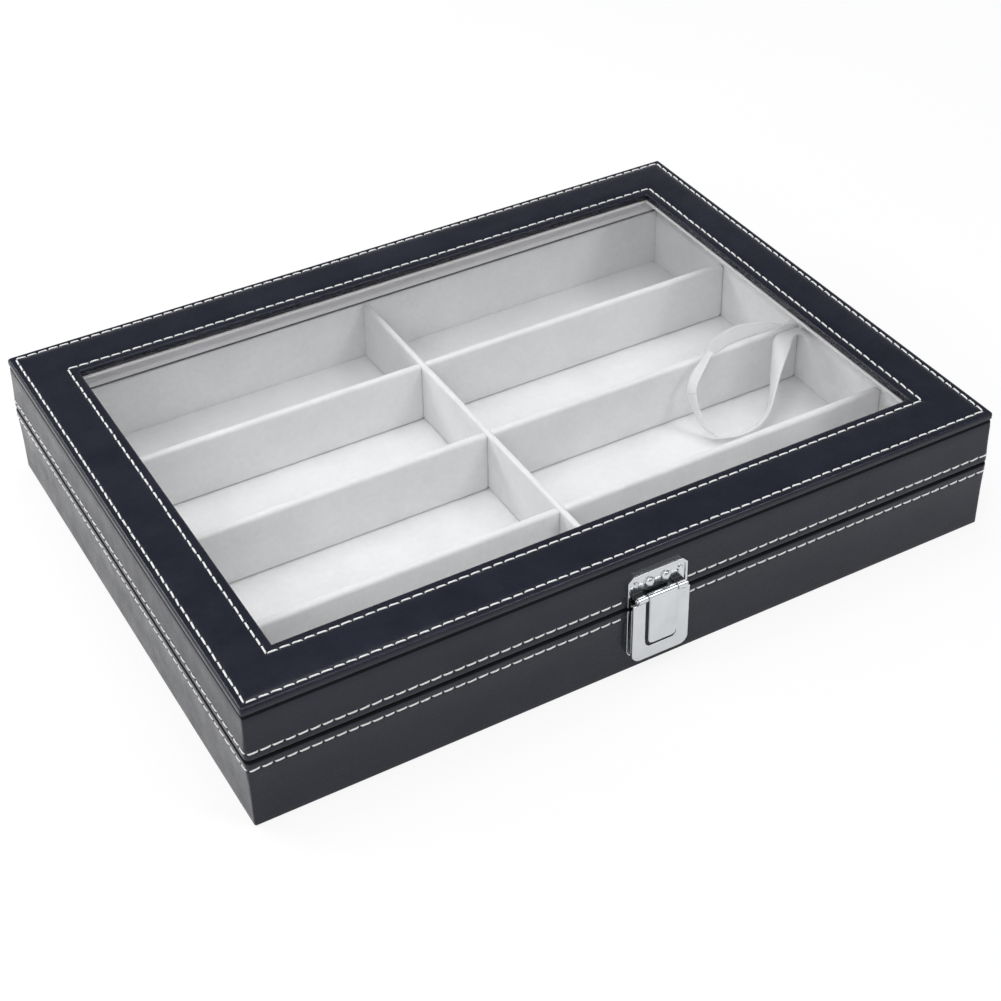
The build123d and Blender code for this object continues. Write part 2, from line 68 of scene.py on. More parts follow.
def make_camera():
    back = Vector((
        sin(CAMERA_AZIMUTH) * cos(CAMERA_ELEVATION),
        -cos(CAMERA_AZIMUTH) * cos(CAMERA_ELEVATION),
        sin(CAMERA_ELEVATION),
    ))
    right = Vector((cos(CAMERA_AZIMUTH), sin(CAMERA_AZIMUTH), 0))
    up = back.cross(right)
    c, s = cos(CAMERA_ROLL), sin(CAMERA_ROLL)
    turned_right = c * right + s * up
    turned_up = c * up - s * right
    camera = bpy.data.objects.new("camera", bpy.data.cameras.new("camera"))
    bpy.context.scene.collection.objects.link(camera)
    turn = Matrix((turned_right, turned_up, back)).transposed().to_4x4()
    camera.matrix_world = Matrix.Translation(CAMERA_TARGET + back * CAMERA_DISTANCE) @ turn
    camera.data.lens = CAMERA_LENS
    camera.data.sensor_width = CAMERA_SENSOR
    camera.data.shift_y = CAMERA_SHIFT
    camera.data.clip_start = 0.01
    camera.data.clip_end = 50
    bpy.context.scene.camera = camera


make_camera()


def in_mm(node):
    """A node's lowest and highest corners, in millimetres."""
    low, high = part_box(node)
    return Vector(low) / MM, Vector(high) / MM


# Levels and outlines, read from the frame (millimetres)
ROW_NAMES = ("back", "middle", "front")
wrap_low, wrap_high = in_mm("base_leather_wrap")
side_low, side_high = in_mm("lid_side_leather")
board_low, board_high = in_mm("base_front_board")
pad_low, pad_high = in_mm("base_floor_pad")
centre_low, centre_high = in_mm("centre_divider")
row_boxes = [in_mm(f"row_divider_{name}") for name in ROW_NAMES]
top_high = in_mm("lid_top_leather")[1]
top_board_top = in_mm("lid_top_board_front")[1].z
glass_top = in_mm("lid_glass")[1].z
rail_bottom = in_mm("lid_front_rail")[0].z
room_x = in_mm("base_right_lining")[0].x
room_y = in_mm("base_back_lining")[0].y

side_x, side_y = wrap_high.x, wrap_high.y
lip_x, lip_y = top_high.x, top_high.y
lip_low = side_high.z
leather = side_x - board_high.x
seam = (wrap_high.z + side_low.z) / 2
# The walls' inner faces, as offsets from the leather's outside
inner_x = in_mm("base_right_board")[0].x - side_x
inner_y = -board_high.y - side_y

# Sizes seen in the photograph (millimetres)
WINDOW_INSET_SIDE = 23.5
WINDOW_INSET_FRONT = 25.5
STITCH_FROM_SEAM = 4.15
STITCH_FROM_LIP = 3.0
STITCH_FROM_WINDOW = 3.8
STITCH_PITCH = 4.85
STITCH_LENGTH = 4.15
STITCH_WIDTH = 0.8
STITCH_HEIGHT = 0.42
STITCH_SUNK = 0.22
BOX_CORNER = 0.9
LIP_CORNER = 1.3
LEAST_CORNER = 0.45
CORNER_FLARE = 2.2
SEAM_PUFF, SEAM_PUFF_REACH = 0.8, 9.0
SEAM_ROUND = 1.5
# Height of the bands next to the seam where the leather is darkened as painted shade
SEAM_SHADE_BAND = 0.95
LIP_GROOVE, LIP_GROOVE_WIDTH = 0.55, 1.1
LIP_GROOVE_LEVEL = 54.5
TOP_CROWN, TOP_CROWN_POWER = 0.40, 3.2
TOP_DIP, TOP_DIP_WIDTH = 0.16, 1.5

# The pinch along a stitch row: depth and width of its sharp and of its wide part, how far from the
# row it is worked out, and its mean and swing between two stitches
PINCH_SHARP, PINCH_WIDE = (0.30, 0.42), (0.10, 1.1)
PINCH_REACH = 2.5
PINCH_MEAN, PINCH_SWING = 0.55, 0.45

# How finely the leather is divided
CORNER_STEPS = 6
RIM_STEPS = 5
STITCH_SAMPLES = 4
FINE_STEP, COARSE_STEP, FINE_REACH = 0.3, 2.2, 1.4


# Node trees

SOCKETS = {"colour": "Base Color", "rough": "Roughness", "metal": "Metallic", "normal": "Normal",
           "specular": "Specular IOR Level", "sheen": "Sheen Weight",
           "sheen_rough": "Sheen Roughness", "glass": "Transmission Weight", "ior": "IOR"}


class Nodes:
    """A small helper round a node tree; inputs take plain values or other nodes' outputs."""

    def __init__(self, tree):
        self.tree = tree

    def feed(self, socket, value):
        if isinstance(value, bpy.types.NodeSocket):
            self.tree.links.new(value, socket)
        else:
            socket.default_value = (*value, 1.0) if socket.type == "RGBA" else value

    def new(self, kind, **inputs):
        node = self.tree.nodes.new("ShaderNode" + kind)
        for name, value in inputs.items():
            self.feed(node.inputs[name.replace("_", " ")], value)
        return node

    def span(self, value, low, high, source_low=0.0, source_high=1.0):
        node = self.new("MapRange", Value=value, From_Min=source_low, From_Max=source_high,
                        To_Min=low, To_Max=high)
        return node.outputs["Result"]

    def math(self, operation, *values):
        node = self.new("Math")
        node.operation = operation
        for socket, value in zip(node.inputs, values):
            self.feed(socket, value)
        return node.outputs["Value"]

    def colours(self, value, *stops):
        """A colour ramp with a stop for each pair of a position and a colour."""
        ramp = self.new("ValToRGB", Fac=value)
        for element, (position, colour) in zip(ramp.color_ramp.elements, stops):
            element.position = position
            element.color = (*colour, 1.0)
        return ramp.outputs["Color"]

    def mix(self, factor, first, second):
        node = self.new("MixShader", Fac=factor)
        self.tree.links.new(first, node.inputs[1])
        self.tree.links.new(second, node.inputs[2])
        return node.outputs["Shader"]


class Material(Nodes):
    """A new material: its principled shader, and textures that lie on the object's own place."""

    def __init__(self, name):
        self.material = bpy.data.materials.new(name)
        self.material.use_nodes = True
        super().__init__(self.material.node_tree)
        self.shader = self.tree.nodes["Principled BSDF"]
        self.plain = self.shader.outputs["BSDF"]
        self.place = self.new("TexCoord").outputs["Object"]

    def noise(self, scale, detail=3.0, rough=0.5, place=None):
        node = self.new("TexNoise", Vector=place or self.place, Scale=scale, Detail=detail,
                        Roughness=rough)
        return node.outputs["Fac"]

    def cells(self, scale):
        return self.new("TexVoronoi", Vector=self.place, Scale=scale).outputs["Distance"]

    def waves(self, scale, distortion, place, direction="X"):
        node = self.new("TexWave", Vector=place, Scale=scale, Distortion=distortion)
        node.bands_direction = direction
        return node.outputs["Fac"]

    def bump(self, height, strength, depth_mm, under=None):
        node = self.new("Bump", Height=height, Strength=strength, Distance=depth_mm * MM)
        if under:
            self.feed(node.inputs["Normal"], under)
        return node.outputs["Normal"]

    def stretched(self, scale):
        return self.new("Mapping", Vector=self.place, Scale=scale).outputs["Vector"]

    def surface(self, **inputs):
        """Feeds the principled shader, by the short names in SOCKETS."""
        for name, value in inputs.items():
            self.feed(self.shader.inputs[SOCKETS[name]], value)
        return self.material

    def shown(self, shader):
        """Shows another shader than the principled one alone."""
        self.tree.links.new(shader, self.tree.nodes["Material Output"].inputs["Surface"])


def leatherette(name, dark, light, rough, specular):
    """Smooth coated leatherette: fine pebble grain, faint creases, uneven gloss."""
    m = Material(name)
    grain = m.math("ADD", m.cells(1100), m.math("MULTIPLY", m.noise(2300, 3, 0.6), 0.7))
    return m.surface(
        colour=m.colours(m.noise(38, 4, 0.6), (0.3, dark), (0.72, light)),
        rough=m.span(m.noise(95, 4, 0.6), rough, rough + 0.12, 0.3, 0.7),
        normal=m.bump(m.noise(26, 2, 0.5), 0.25, 1.2, under=m.bump(grain, 0.42, 0.07)),
        specular=specular)


def thread():
    """White sewing thread, twisted from plies; the mesh's UV runs along each stitch."""
    m = Material("thread")
    turned = m.new("Mapping", Vector=m.new("TexCoord").outputs["UV"], Rotation=(0, 0, radians(35)))
    plies = m.waves(1.6, 0.4, turned.outputs["Vector"])
    return m.surface(
        colour=m.colours(plies, (0.1, (0.60, 0.60, 0.58)), (0.6, (0.88, 0.88, 0.87))),
        rough=m.span(m.noise(900, 2), 0.6, 0.8),
        normal=m.bump(plies, 0.5, 0.08),
        sheen=0.25, sheen_rough=0.4)


def velvet(name, low, high):
    """Short-napped lining cloth: brushed patches, mottled nap and a fine fibre bump."""
    m = Material(name)
    patches = m.noise(34, 5, 0.65)
    fibres = m.noise(3200, 2, 0.6)
    nap = m.noise(420, 3, 0.7)
    both = m.math("ADD", m.math("MULTIPLY", patches, 0.45), m.math("MULTIPLY", nap, 0.35))
    both = m.math("ADD", both, m.math("MULTIPLY", fibres, 0.20))
    return m.surface(
        colour=m.colours(both, (0.3, low), (0.7, high)),
        rough=m.span(patches, 0.82, 0.95, 0.3, 0.7),
        normal=m.bump(fibres, 0.35, 0.12),
        specular=0.15, sheen=0.18, sheen_rough=0.55)


def nickel():
    """Bright nickel plate with fine brush marks and handling haze."""
    m = Material("nickel_plate")
    brushed = m.noise(240, 3, 0.6, m.stretched((1, 8, 0.6)))
    return m.surface(
        colour=m.colours(m.noise(60, 3), (0.3, (0.56, 0.575, 0.59)), (0.7, (0.68, 0.695, 0.71))),
        rough=m.span(m.noise(130, 4, 0.7), 0.12, 0.26, 0.3, 0.7),
        normal=m.bump(brushed, 0.06, 0.05),
        metal=1.0)


def painted_shade_nickel():
    """Nickel darkened to paint shade and dark reflections: in the flap's pressed groove and on the
    upper plate's lug webs.
    """
    m = Material("nickel_with_painted_shade")
    return m.surface(
        colour=m.colours(m.noise(220, 3), (0.3, (0.022, 0.022, 0.024)), (0.7, (0.05, 0.05, 0.052))),
        normal=m.bump(m.noise(900, 2), 0.2, 0.05),
        metal=0.6, rough=0.55, specular=0.2)


def spring_steel():
    """Rolled spring strip, slightly blued."""
    m = Material("blued_spring_steel")
    return m.surface(
        colour=m.colours(m.noise(180, 3), (0.3, (0.22, 0.22, 0.23)), (0.7, (0.36, 0.36, 0.37))),
        rough=m.span(m.noise(300, 3), 0.25, 0.42),
        normal=m.bump(m.noise(1200, 2), 0.08, 0.05),
        metal=1.0)


def clear_glass():
    """Float glass with a faint wipe haze; lamps and daylight pass through it."""
    m = Material("clear_glass")
    m.surface(
        rough=m.span(m.noise(20, 4, 0.6), 0.0, 0.035, 0.45, 0.8),
        normal=m.bump(m.noise(9, 1), 0.02, 0.4),
        colour=(0.985, 0.99, 0.987), glass=1.0, ior=1.45)
    rays = m.new("LightPath").outputs
    lamp_ray = m.math("MAXIMUM", rays["Is Shadow Ray"], rays["Is Diffuse Ray"])
    m.shown(m.mix(lamp_ray, m.plain, m.new("BsdfTransparent").outputs["BSDF"]))
    return m.material


def fibreboard():
    """Sawn fibreboard."""
    m = Material("fibreboard")
    fibres = m.noise(700, 4, 0.7, m.stretched((1, 1, 3)))
    return m.surface(
        colour=m.colours(fibres, (0.3, (0.21, 0.125, 0.065)), (0.7, (0.40, 0.27, 0.155))),
        normal=m.bump(fibres, 0.3, 0.1),
        rough=0.88, specular=0.2)


def bottom_cloth():
    """Black felted sheet under the box."""
    m = Material("bottom_cloth")
    felt = m.noise(900, 4, 0.75)
    return m.surface(
        colour=m.colours(felt, (0.3, (0.010, 0.010, 0.012)), (0.75, (0.035, 0.035, 0.040))),
        normal=m.bump(felt, 0.5, 0.15),
        rough=0.95, specular=0.15, sheen=0.2)


def satin():
    """Thin white satin ribbon; light shines through it and its weave runs along it."""
    m = Material("white_satin")
    weave = m.waves(26, 0.3, m.new("TexCoord").outputs["UV"], "Y")
    m.surface(
        colour=m.colours(weave, (0.2, (0.93, 0.93, 0.94)), (0.8, (0.98, 0.98, 0.98))),
        rough=m.span(m.noise(300, 2), 0.28, 0.42),
        normal=m.bump(weave, 0.12, 0.05),
        sheen=0.5, sheen_rough=0.3)
    through = m.new("BsdfTranslucent", Color=(0.9, 0.9, 0.92)).outputs["BSDF"]
    cloth = m.mix(0.35, m.plain, through)
    m.shown(m.mix(0.30, cloth, m.new("BsdfTransparent").outputs["BSDF"]))
    return m.material


LEATHERETTE = leatherette("leatherette", dark=(0.0072, 0.0082, 0.0155),
                          light=(0.0128, 0.0140, 0.0240), rough=0.21, specular=0.27)
# Near-black leatherette that paints shade in the seam between lid and base and under the lid's lip
LEATHER_PAINTED_SHADE = leatherette("leatherette_painted_shade", dark=(0.003, 0.0034, 0.005),
                           light=(0.005, 0.0055, 0.008), rough=0.72, specular=0.12)
THREAD = thread()
# One lining cloth in four tones, set per part as painted light and shade: darkest on the dividers
VELVET_WALL = velvet("velvet_wall", (0.67, 0.67, 0.67), (0.84, 0.84, 0.84))
VELVET_LID = velvet("velvet_lid", (0.76, 0.745, 0.765), (0.85, 0.835, 0.855))
VELVET_FLOOR = velvet("velvet_floor", (0.71, 0.71, 0.715), (0.85, 0.85, 0.855))
VELVET_DIVIDER = velvet("velvet_divider", (0.63, 0.63, 0.632), (0.79, 0.79, 0.792))
NICKEL = nickel()
PAINTED_SHADE_NICKEL = painted_shade_nickel()
SPRING_STEEL = spring_steel()
GLASS = clear_glass()
FIBREBOARD = fibreboard()
BOTTOM_CLOTH = bottom_cloth()
SATIN = satin()


# Mesh helpers; points are in millimetres

def mesh_piece(name, points, faces, material, uv=None):
    """A smooth-shaded mesh with outward normals."""
    mesh = bpy.data.meshes.new(name)
    mesh.from_pydata([tuple(p) for p in np.asarray(points) * MM], [], faces)
    if uv is not None:
        layer = mesh.uv_layers.new(name="along")
        loops = np.zeros(len(mesh.loops), np.int32)
        mesh.loops.foreach_get("vertex_index", loops)
        layer.data.foreach_set("uv", np.asarray(uv, np.float32)[loops].ravel())
    work = bmesh.new()
    work.from_mesh(mesh)
    bmesh.ops.recalc_face_normals(work, faces=work.faces)
    work.to_mesh(mesh)
    work.free()
    mesh.polygons.foreach_set("use_smooth", [True] * len(mesh.polygons))
    mesh.materials.append(material)
    piece = bpy.data.objects.new(name, mesh)
    bpy.context.scene.collection.objects.link(piece)
    return piece


def arc(centre, radius, start, end, steps):
    """Points of an arc in a section, angles in degrees."""
    turns = np.linspace(radians(start), radians(end), steps + 1)
    return [(centre[0] + radius * cos(t), centre[1] + radius * sin(t)) for t in turns]


def graded(start, end, rows):
    """Values that rise from start to end, closer together near the stitch rows."""
    values = [start]
    while end - values[-1] > TOUCH:
        near = min(abs(values[-1] - row) for row in rows)
        step = FINE_STEP if near < FINE_REACH else min(COARSE_STEP, near - FINE_REACH + FINE_STEP)
        values.append(values[-1] + min(step, end - values[-1]))
    return values[1:]


def tube_faces(rings, sides):
    """Faces between rings of points, with a cap at each end."""
    faces = []
    for i in range(rings - 1):
        here, there = i * sides, (i + 1) * sides
        for k in range(sides):
            after = (k + 1) % sides
            faces.append((here + k, here + after, there + after, there + k))
    faces.append(tuple(range(sides)))
    faces.append(tuple((rings - 1) * sides + k for k in range(sides)))
    return faces


def add_part(points, faces, part_points, part_faces):
    """Adds a part's points, and its faces numbered on from those already there."""
    first = len(points)
    points.extend(part_points)
    faces.extend(tuple(first + v for v in face) for face in part_faces)


def bell(distance, height, width):
    return height * np.exp(-(distance / width) ** 2)


def along_sides(per_side):
    """Samples round a rounded rectangle: side number, place on it from -1 to 1, angle it faces.

    A corner's samples have the side before it plus a half.
    """
    samples = []
    for side in range(4):
        facing = -pi / 2 + side * pi / 2
        for t in np.linspace(-1, 1, per_side[side % 2] + 1):
            samples.append((side, t, facing))
        for k in range(1, CORNER_STEPS):
            samples.append((side + 0.5, 1.0, facing + k * pi / 2 / CORNER_STEPS))
    return samples


def stitch_count(run):
    return max(1, round(run / STITCH_PITCH))


def swept_frame(name, section, half_x, half_y, corner, rows, material):
    """A closed section carried round a rounded rectangle, pinched along its stitch rows.

    A section point is (offset of the x sides, offset of the y sides, level, row number or None,
    depth of the pinch there).
    """
    samples = along_sides([STITCH_SAMPLES * stitch_count(2 * half) for half in (half_x, half_y)])
    count = len(section)
    outline = np.array([(s[0], s[2]) for s in section])
    following = np.roll(outline, -1, 0)
    tangent = following - np.roll(outline, 1, 0)
    area = np.sum(outline[:, 0] * following[:, 1] - following[:, 0] * outline[:, 1])
    out = np.stack([tangent[:, 1], -tangent[:, 0]], 1) * np.sign(area)
    out /= np.maximum(np.linalg.norm(out, axis=1, keepdims=True), 1e-9)
    points = np.zeros((len(samples), count, 3))
    for j, (dx, dy, level, row, pinch) in enumerate(section):
        reach_x, reach_y = half_x + dx, half_y + dy
        grown = max(dx, dy)
        radius = max(corner + grown * (CORNER_FLARE if grown > 0 else 1.0), LEAST_CORNER)
        for i, (side, t, facing) in enumerate(samples):
            nx, ny = cos(facing), sin(facing)
            if side == int(side):
                ahead = (-ny, nx)
                run = (reach_x if side % 2 == 0 else reach_y) - radius
                reach = reach_y if side % 2 == 0 else reach_x
                x, y = nx * reach + ahead[0] * t * run, ny * reach + ahead[1] * t * run
                depth = 0.0
                if row is not None:
                    length = 2 * rows[row][side % 2]
                    pitch = length / stitch_count(length)
                    wave = cos(2 * pi * (t * run + length / 2) / pitch)
                    depth = pinch * (PINCH_MEAN + PINCH_SWING * wave)
            else:
                quarter = int(side)
                cx = (1, 1, -1, -1)[quarter] * (reach_x - radius)
                cy = (-1, 1, 1, -1)[quarter] * (reach_y - radius)
                x, y = cx + radius * nx, cy + radius * ny
                depth = pinch * PINCH_MEAN if row is not None else 0.0
            outward, upward = out[j]
            x, y = x - nx * outward * depth, y - ny * outward * depth
            points[i, j] = (x, y, level - upward * depth)
    faces = []
    total = len(samples)
    for i in range(total):
        here, there = i * count, (i + 1) % total * count
        for j in range(count):
            turn = (j + 1) % count
            faces.append((here + j, there + j, there + turn, here + turn))
    return mesh_piece(name, points.reshape(-1, 3), faces, material)


def pinch_at(distance):
    """How deep the leather is drawn in at a distance from its stitch row."""
    return bell(distance, *PINCH_SHARP) + bell(distance, *PINCH_WIDE)


def puff(level):
    """How far the folded leather swells out near the seam."""
    return bell(level - seam, SEAM_PUFF, SEAM_PUFF_REACH)


def smooth_at(dx, dy, level):
    """A section point away from any stitch row."""
    return dx, dy, level, None, 0.0


def pinched_at(dx, dy, level, row, near):
    """A section point that may be near enough to a stitch row to be drawn in."""
    return dx, dy, level, row if near < PINCH_REACH else None, float(pinch_at(near))


def rim(centre, radius, start, end, steps, out=0.0):
    """Section points of a rounded rim."""
    return [smooth_at(d + out, d + out, z) for d, z in arc(centre, radius, start, end, steps)]


def wall_section(row_level, low, high, low_round, high_round, groove=0.0):
    """Section of the leather on a wall: its face, rounded rims, and its turned-in edges."""
    start, end = low + low_round, high - high_round
    section = [smooth_at(inner_x, inner_y, low)]
    section += rim((-low_round, start), low_round, -90, 0, RIM_STEPS, float(puff(start)))
    for z in graded(start, end, [row_level]):
        if z < end - TOUCH:
            out = float(puff(z) - bell(z - LIP_GROOVE_LEVEL, groove, LIP_GROOVE_WIDTH))
            section.append(pinched_at(out, out, z, 0, abs(z - row_level)))
    section += rim((-high_round, end), high_round, 0, 90, RIM_STEPS, float(puff(end) - groove))
    section.append(smooth_at(inner_x, inner_y, high))
    return section


def paint_shade_where(piece, material, test):
    """Gives a second material, one that paints shade, to the faces whose centre, in millimetres,
    passes the test.
    """
    piece.data.materials.append(material)
    for face in piece.data.polygons:
        if test(face.center / MM):
            face.material_index = 1


def base_leather():
    """The base's wrap: rounded rims, a pinched stitch row near the seam, edges turned in."""
    foot_round = 0.45
    section = wall_section(seam - STITCH_FROM_SEAM, wrap_low.z, wrap_high.z, foot_round, SEAM_ROUND)
    section.append(smooth_at(inner_x, inner_y, board_high.z))
    section.append(smooth_at(-leather, -leather, board_high.z))
    section.append(smooth_at(-leather, -leather, board_low.z))
    section.append(smooth_at(inner_x, inner_y, board_low.z))
    piece = swept_frame("base_leather", section, side_x, side_y, BOX_CORNER, [(side_x, side_y)],
                        LEATHERETTE)
    # Paints shade on the rim along the seam
    paint_shade_where(piece, LEATHER_PAINTED_SHADE, lambda c: c.z > wrap_high.z - SEAM_SHADE_BAND)
    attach(piece, "base")
    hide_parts("base_leather_wrap")


def lid_side_cover():
    """The lid's side leather: a rounded lower rim, a stitch row above the seam."""
    head_round, groove_shade_band = 0.2, 1.2
    section = wall_section(seam + STITCH_FROM_SEAM, side_low.z, side_high.z, SEAM_ROUND, head_round,
                           LIP_GROOVE)
    section.pop()
    section.append(smooth_at(-leather, -leather, side_high.z))
    section.append(smooth_at(-leather, -leather, rail_bottom))
    section.append(smooth_at(inner_x, inner_y, rail_bottom))
    piece = swept_frame("lid_side_cover", section, side_x, side_y, BOX_CORNER, [(side_x, side_y)],
                        LEATHERETTE)
    # Paints shade on the rim along the seam and in the groove under the lip
    paint_shade_where(piece, LEATHER_PAINTED_SHADE,
            lambda c: c.z < side_low.z + SEAM_SHADE_BAND or c.z > LIP_GROOVE_LEVEL - groove_shade_band)
    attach(piece, "lid")
    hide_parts("lid_side_leather")


def top_level(share, from_lip, from_window):
    """Height of the padded leather on top: a low crown that dips at both stitch rows."""
    crown = top_high.z - TOP_CROWN * abs(2 * share - 1) ** TOP_CROWN_POWER
    for away in (from_lip - STITCH_FROM_LIP, from_window - STITCH_FROM_WINDOW):
        crown -= bell(away, TOP_DIP, TOP_DIP_WIDTH)
    return crown


def lid_top_cover():
    """The padded leather frame on top, from its lip to where it turns down at the window."""
    wide_x, wide_y = WINDOW_INSET_SIDE, WINDOW_INSET_FRONT
    lip_round, lip_under, window_round = 1.3, 0.8, 0.9
    turned_in = -leather - 1.0
    section = [smooth_at(turned_in, turned_in, lip_low)]
    section += rim((-lip_under, lip_low + lip_under), lip_under, -90, 0, 4)
    brow = top_level(lip_round / wide_x, lip_round, wide_x)
    section += rim((-lip_round, brow - lip_round), lip_round, 0, 90, 7)
    rows = (STITCH_FROM_LIP, wide_x - STITCH_FROM_WINDOW)
    for t in graded(lip_round, wide_x - window_round, rows):
        if t > wide_x - window_round - TOUCH:
            continue
        outer, inner = abs(t - rows[0]), abs(t - rows[1])
        ty = t if t < wide_x / 2 else t + wide_y - wide_x
        section.append(pinched_at(-t, -ty, top_level(t / wide_x, t, wide_x - t),
                                  0 if outer < inner else 1, min(outer, inner)))
    edge = top_level(1 - window_round / wide_x, wide_x - window_round, window_round)
    for d, z in arc((-wide_x + window_round, edge - window_round), window_round, 90, 180, 6):
        section.append(smooth_at(d, d + wide_x - wide_y, z))
    section.append(smooth_at(-wide_x, -wide_y, glass_top))
    section.append(smooth_at(-wide_x + leather, -wide_y + leather, glass_top))
    section.append(smooth_at(-wide_x + leather, -wide_y + leather, top_board_top))
    section.append(smooth_at(turned_in, turned_in, top_board_top))
    row_runs = [
        (lip_x - STITCH_FROM_LIP, lip_y - STITCH_FROM_LIP),
        (lip_x - wide_x + STITCH_FROM_WINDOW, lip_y - wide_y + STITCH_FROM_WINDOW),
    ]
    piece = swept_frame("lid_top_cover", section, lip_x, lip_y, LIP_CORNER, row_runs, LEATHERETTE)
    # Paints shade on the underside of the lip
    paint_shade_where(piece, LEATHER_PAINTED_SHADE, lambda c: c.z < lip_low + 0.35)
    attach(piece, "lid")
    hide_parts("lid_top_leather", "lid_top_padding")


# Stitches

STITCH_RINGS, STITCH_SIDES = 9, 7
# Powers: the higher, the blunter a stitch's ends and the more suddenly they dive into the leather
STITCH_BLUNT, STITCH_DIVE = 12, 8
STITCH_BEDDED = 0.16
STITCH_ROUNDNESS = 1.3
STITCH_SLANT, SLANT_SPREAD = 3.0, 1.3
STRETCH_SPREAD, DRIFT_SPREAD = 0.035, 0.05
COVERS = [in_mm(node) for node in (
    "clasp_upper_plate", "clasp_catch_plate", "hinge_base_leaf_left", "hinge_base_leaf_right",
    "hinge_lid_leaf_left", "hinge_lid_leaf_right")]


def stitch_shape():
    """One stitch: along x, width along y, standing out along z, its ends sunk in the leather."""
    points, uv = [], []
    for i in range(STITCH_RINGS):
        u = 0.5 - 0.5 * cos(pi * i / (STITCH_RINGS - 1))
        swell = sqrt(max(0.25, 1 - abs(2 * u - 1) ** STITCH_BLUNT))
        lift = STITCH_HEIGHT * (1 - abs(2 * u - 1) ** STITCH_DIVE) - STITCH_BEDDED
        for k in range(STITCH_SIDES):
            turn = 2 * pi * k / STITCH_SIDES
            y = 0.5 * STITCH_WIDTH * swell * cos(turn)
            z = lift + 0.5 * STITCH_HEIGHT * STITCH_ROUNDNESS * swell * sin(turn)
            points.append(((u - 0.5) * STITCH_LENGTH, y, z))
            uv.append((u * 4.0, 2.0 * k / STITCH_SIDES))
    return np.array(points), tube_faces(STITCH_RINGS, STITCH_SIDES), uv


def under_metal(place):
    """Whether a plate or a hinge leaf hides the stitch there."""
    x, y, z = place
    beside, above, same_wall = 0.3 * STITCH_LENGTH, 0.4, 12
    return any(low.x - beside < x < high.x + beside and low.z - above < z < high.z + above
               and abs(y - (low.y + high.y) / 2) < same_wall for low, high in COVERS)


def stitch_row(name, body, half_x, half_y, level, face_x, face_y, upright):
    """Stitches in four straight runs: on the box's sides if upright, or else on its top."""
    shape, shape_faces, shape_uv = stitch_shape()
    up = np.array((0, 0, 1))
    points, faces, uv = [], [], []
    for side in range(4):
        facing = -pi / 2 + side * pi / 2
        out = np.array((cos(facing), sin(facing), 0))
        ahead = np.array((-sin(facing), cos(facing), 0))
        half_run = half_x if side % 2 == 0 else half_y
        face = face_y if side % 2 == 0 else face_x
        total = stitch_count(2 * half_run)
        pitch = 2 * half_run / total
        across, stand = (up, out) if upright else (out, up)
        centre = out * face if upright else out * (half_y if side % 2 == 0 else half_x)
        for n in range(total):
            slant = radians(STITCH_SLANT + shake.normal(0, SLANT_SPREAD))
            stretch = 1 + shake.normal(0, STRETCH_SPREAD)
            drift = shake.normal(0, DRIFT_SPREAD)
            local = shape * (stretch * min(1.0, pitch / STITCH_PITCH), 1, 1)
            x = local[:, 0] * cos(slant) - local[:, 1] * sin(slant)
            y = local[:, 0] * sin(slant) + local[:, 1] * cos(slant) + drift
            middle = centre + ahead * (-half_run + (n + 0.5) * pitch) + np.array((0, 0, level))
            if upright and under_metal(middle):
                continue
            flat = middle + np.outer(x, ahead) + np.outer(y, across)
            add_part(points, faces, flat + np.outer(local[:, 2], stand), shape_faces)
            uv.extend(shape_uv)
    piece = mesh_piece(name, points, faces, THREAD, uv)
    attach(piece, body)


def all_stitches():
    out = float(puff(seam + STITCH_FROM_SEAM)) - STITCH_SUNK
    for name, body, level in (("stitches_base", "base", seam - STITCH_FROM_SEAM),
                              ("stitches_lid", "lid", seam + STITCH_FROM_SEAM)):
        stitch_row(name, body, side_x, side_y, level, side_x + out, side_y + out, True)
    far = 20
    outer = top_level(STITCH_FROM_LIP / WINDOW_INSET_SIDE, STITCH_FROM_LIP, far) - STITCH_SUNK
    stitch_row("stitches_top_outer", "lid", lip_x - STITCH_FROM_LIP, lip_y - STITCH_FROM_LIP, outer,
               0, 0, False)
    run_x = lip_x - WINDOW_INSET_SIDE + STITCH_FROM_WINDOW
    run_y = lip_y - WINDOW_INSET_FRONT + STITCH_FROM_WINDOW
    inner = top_level(1 - STITCH_FROM_WINDOW / WINDOW_INSET_SIDE, far, STITCH_FROM_WINDOW)
    inner -= STITCH_SUNK
    stitch_row("stitches_top_inner", "lid", run_x, run_y, inner, 0, 0, False)


# Soft linings and pads

SWELL_POWER = 6


